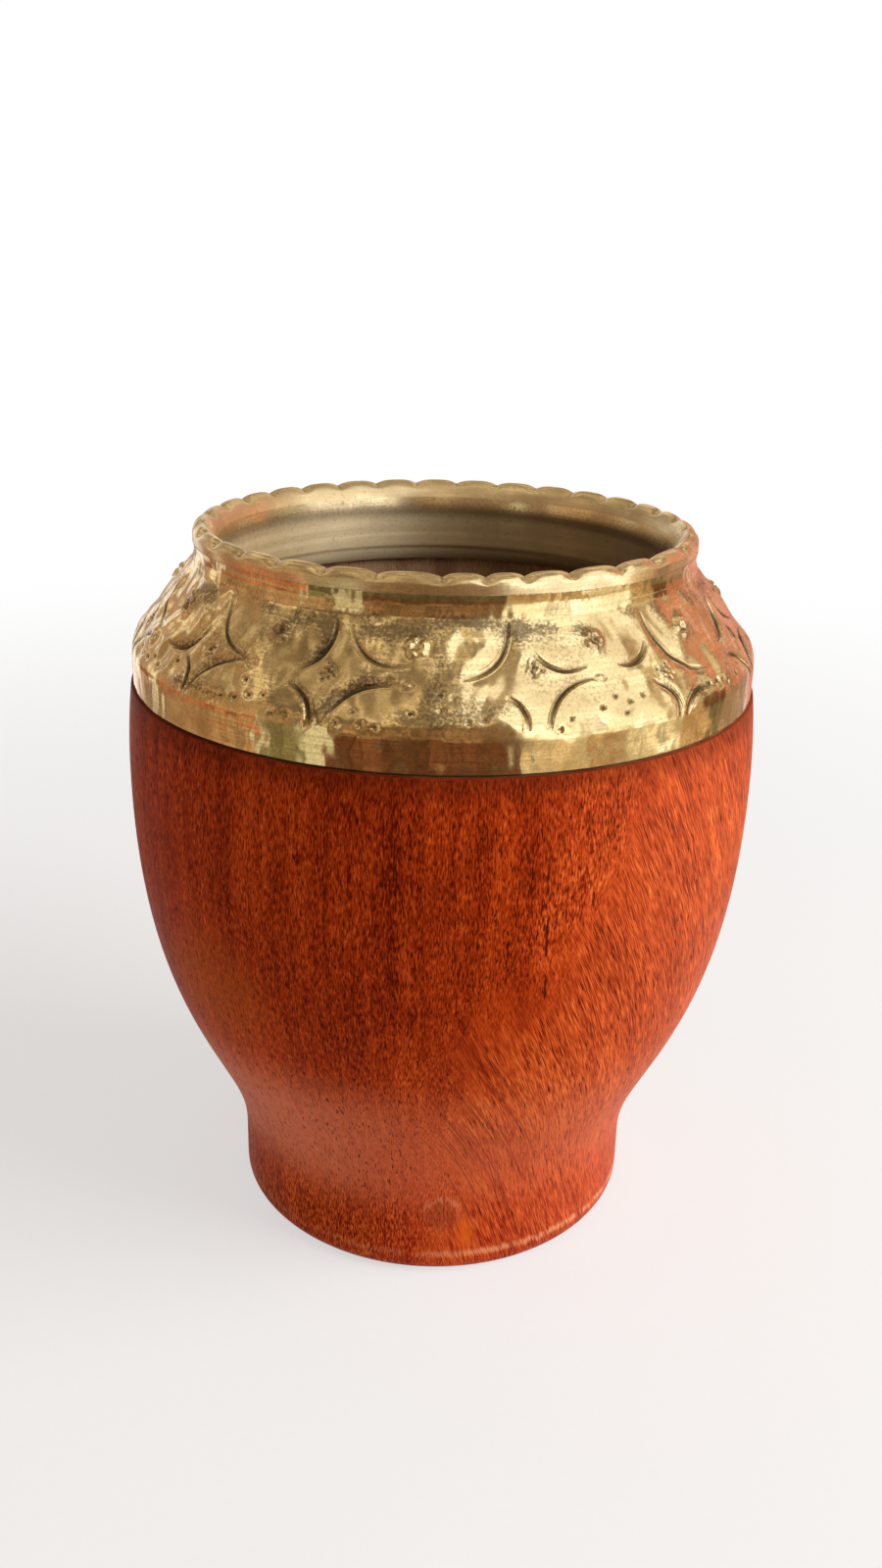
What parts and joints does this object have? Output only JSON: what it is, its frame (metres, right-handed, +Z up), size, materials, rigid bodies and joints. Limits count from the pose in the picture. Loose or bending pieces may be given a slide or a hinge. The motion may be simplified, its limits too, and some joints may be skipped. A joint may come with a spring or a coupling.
{
  "type": "mate cup",
  "caption": "Turned wooden mate cup with a round foot and a swelling belly, closed at the top by a chased brass collar with a lined mouth and a scalloped rim.",
  "frame": {"origin": "centre of the foot's flat underside", "axes": "+Z up along the turning axis, out of the mouth; the pictured side faces -Y"},
  "size_m": [0.08, 0.08, 0.0931],
  "materials": {
    "wood": "oiled red-brown hardwood with open pores, satin",
    "resin": "dark bedding resin, matt",
    "collar_brass": "polished sheet, chased by hand, dulled in the hollows",
    "sleeve_brass": "spun sheet, satin and tarnished",
    "bead_brass": "polished, worn bright on the crests"
  },
  "bodies": {
    "root": {"wood_body": "wood", "collar_bedding": "resin", "brass_collar": "collar_brass", "mouth_sleeve": "sleeve_brass", "rim_bead": "bead_brass"}
  },
  "joints": []
}
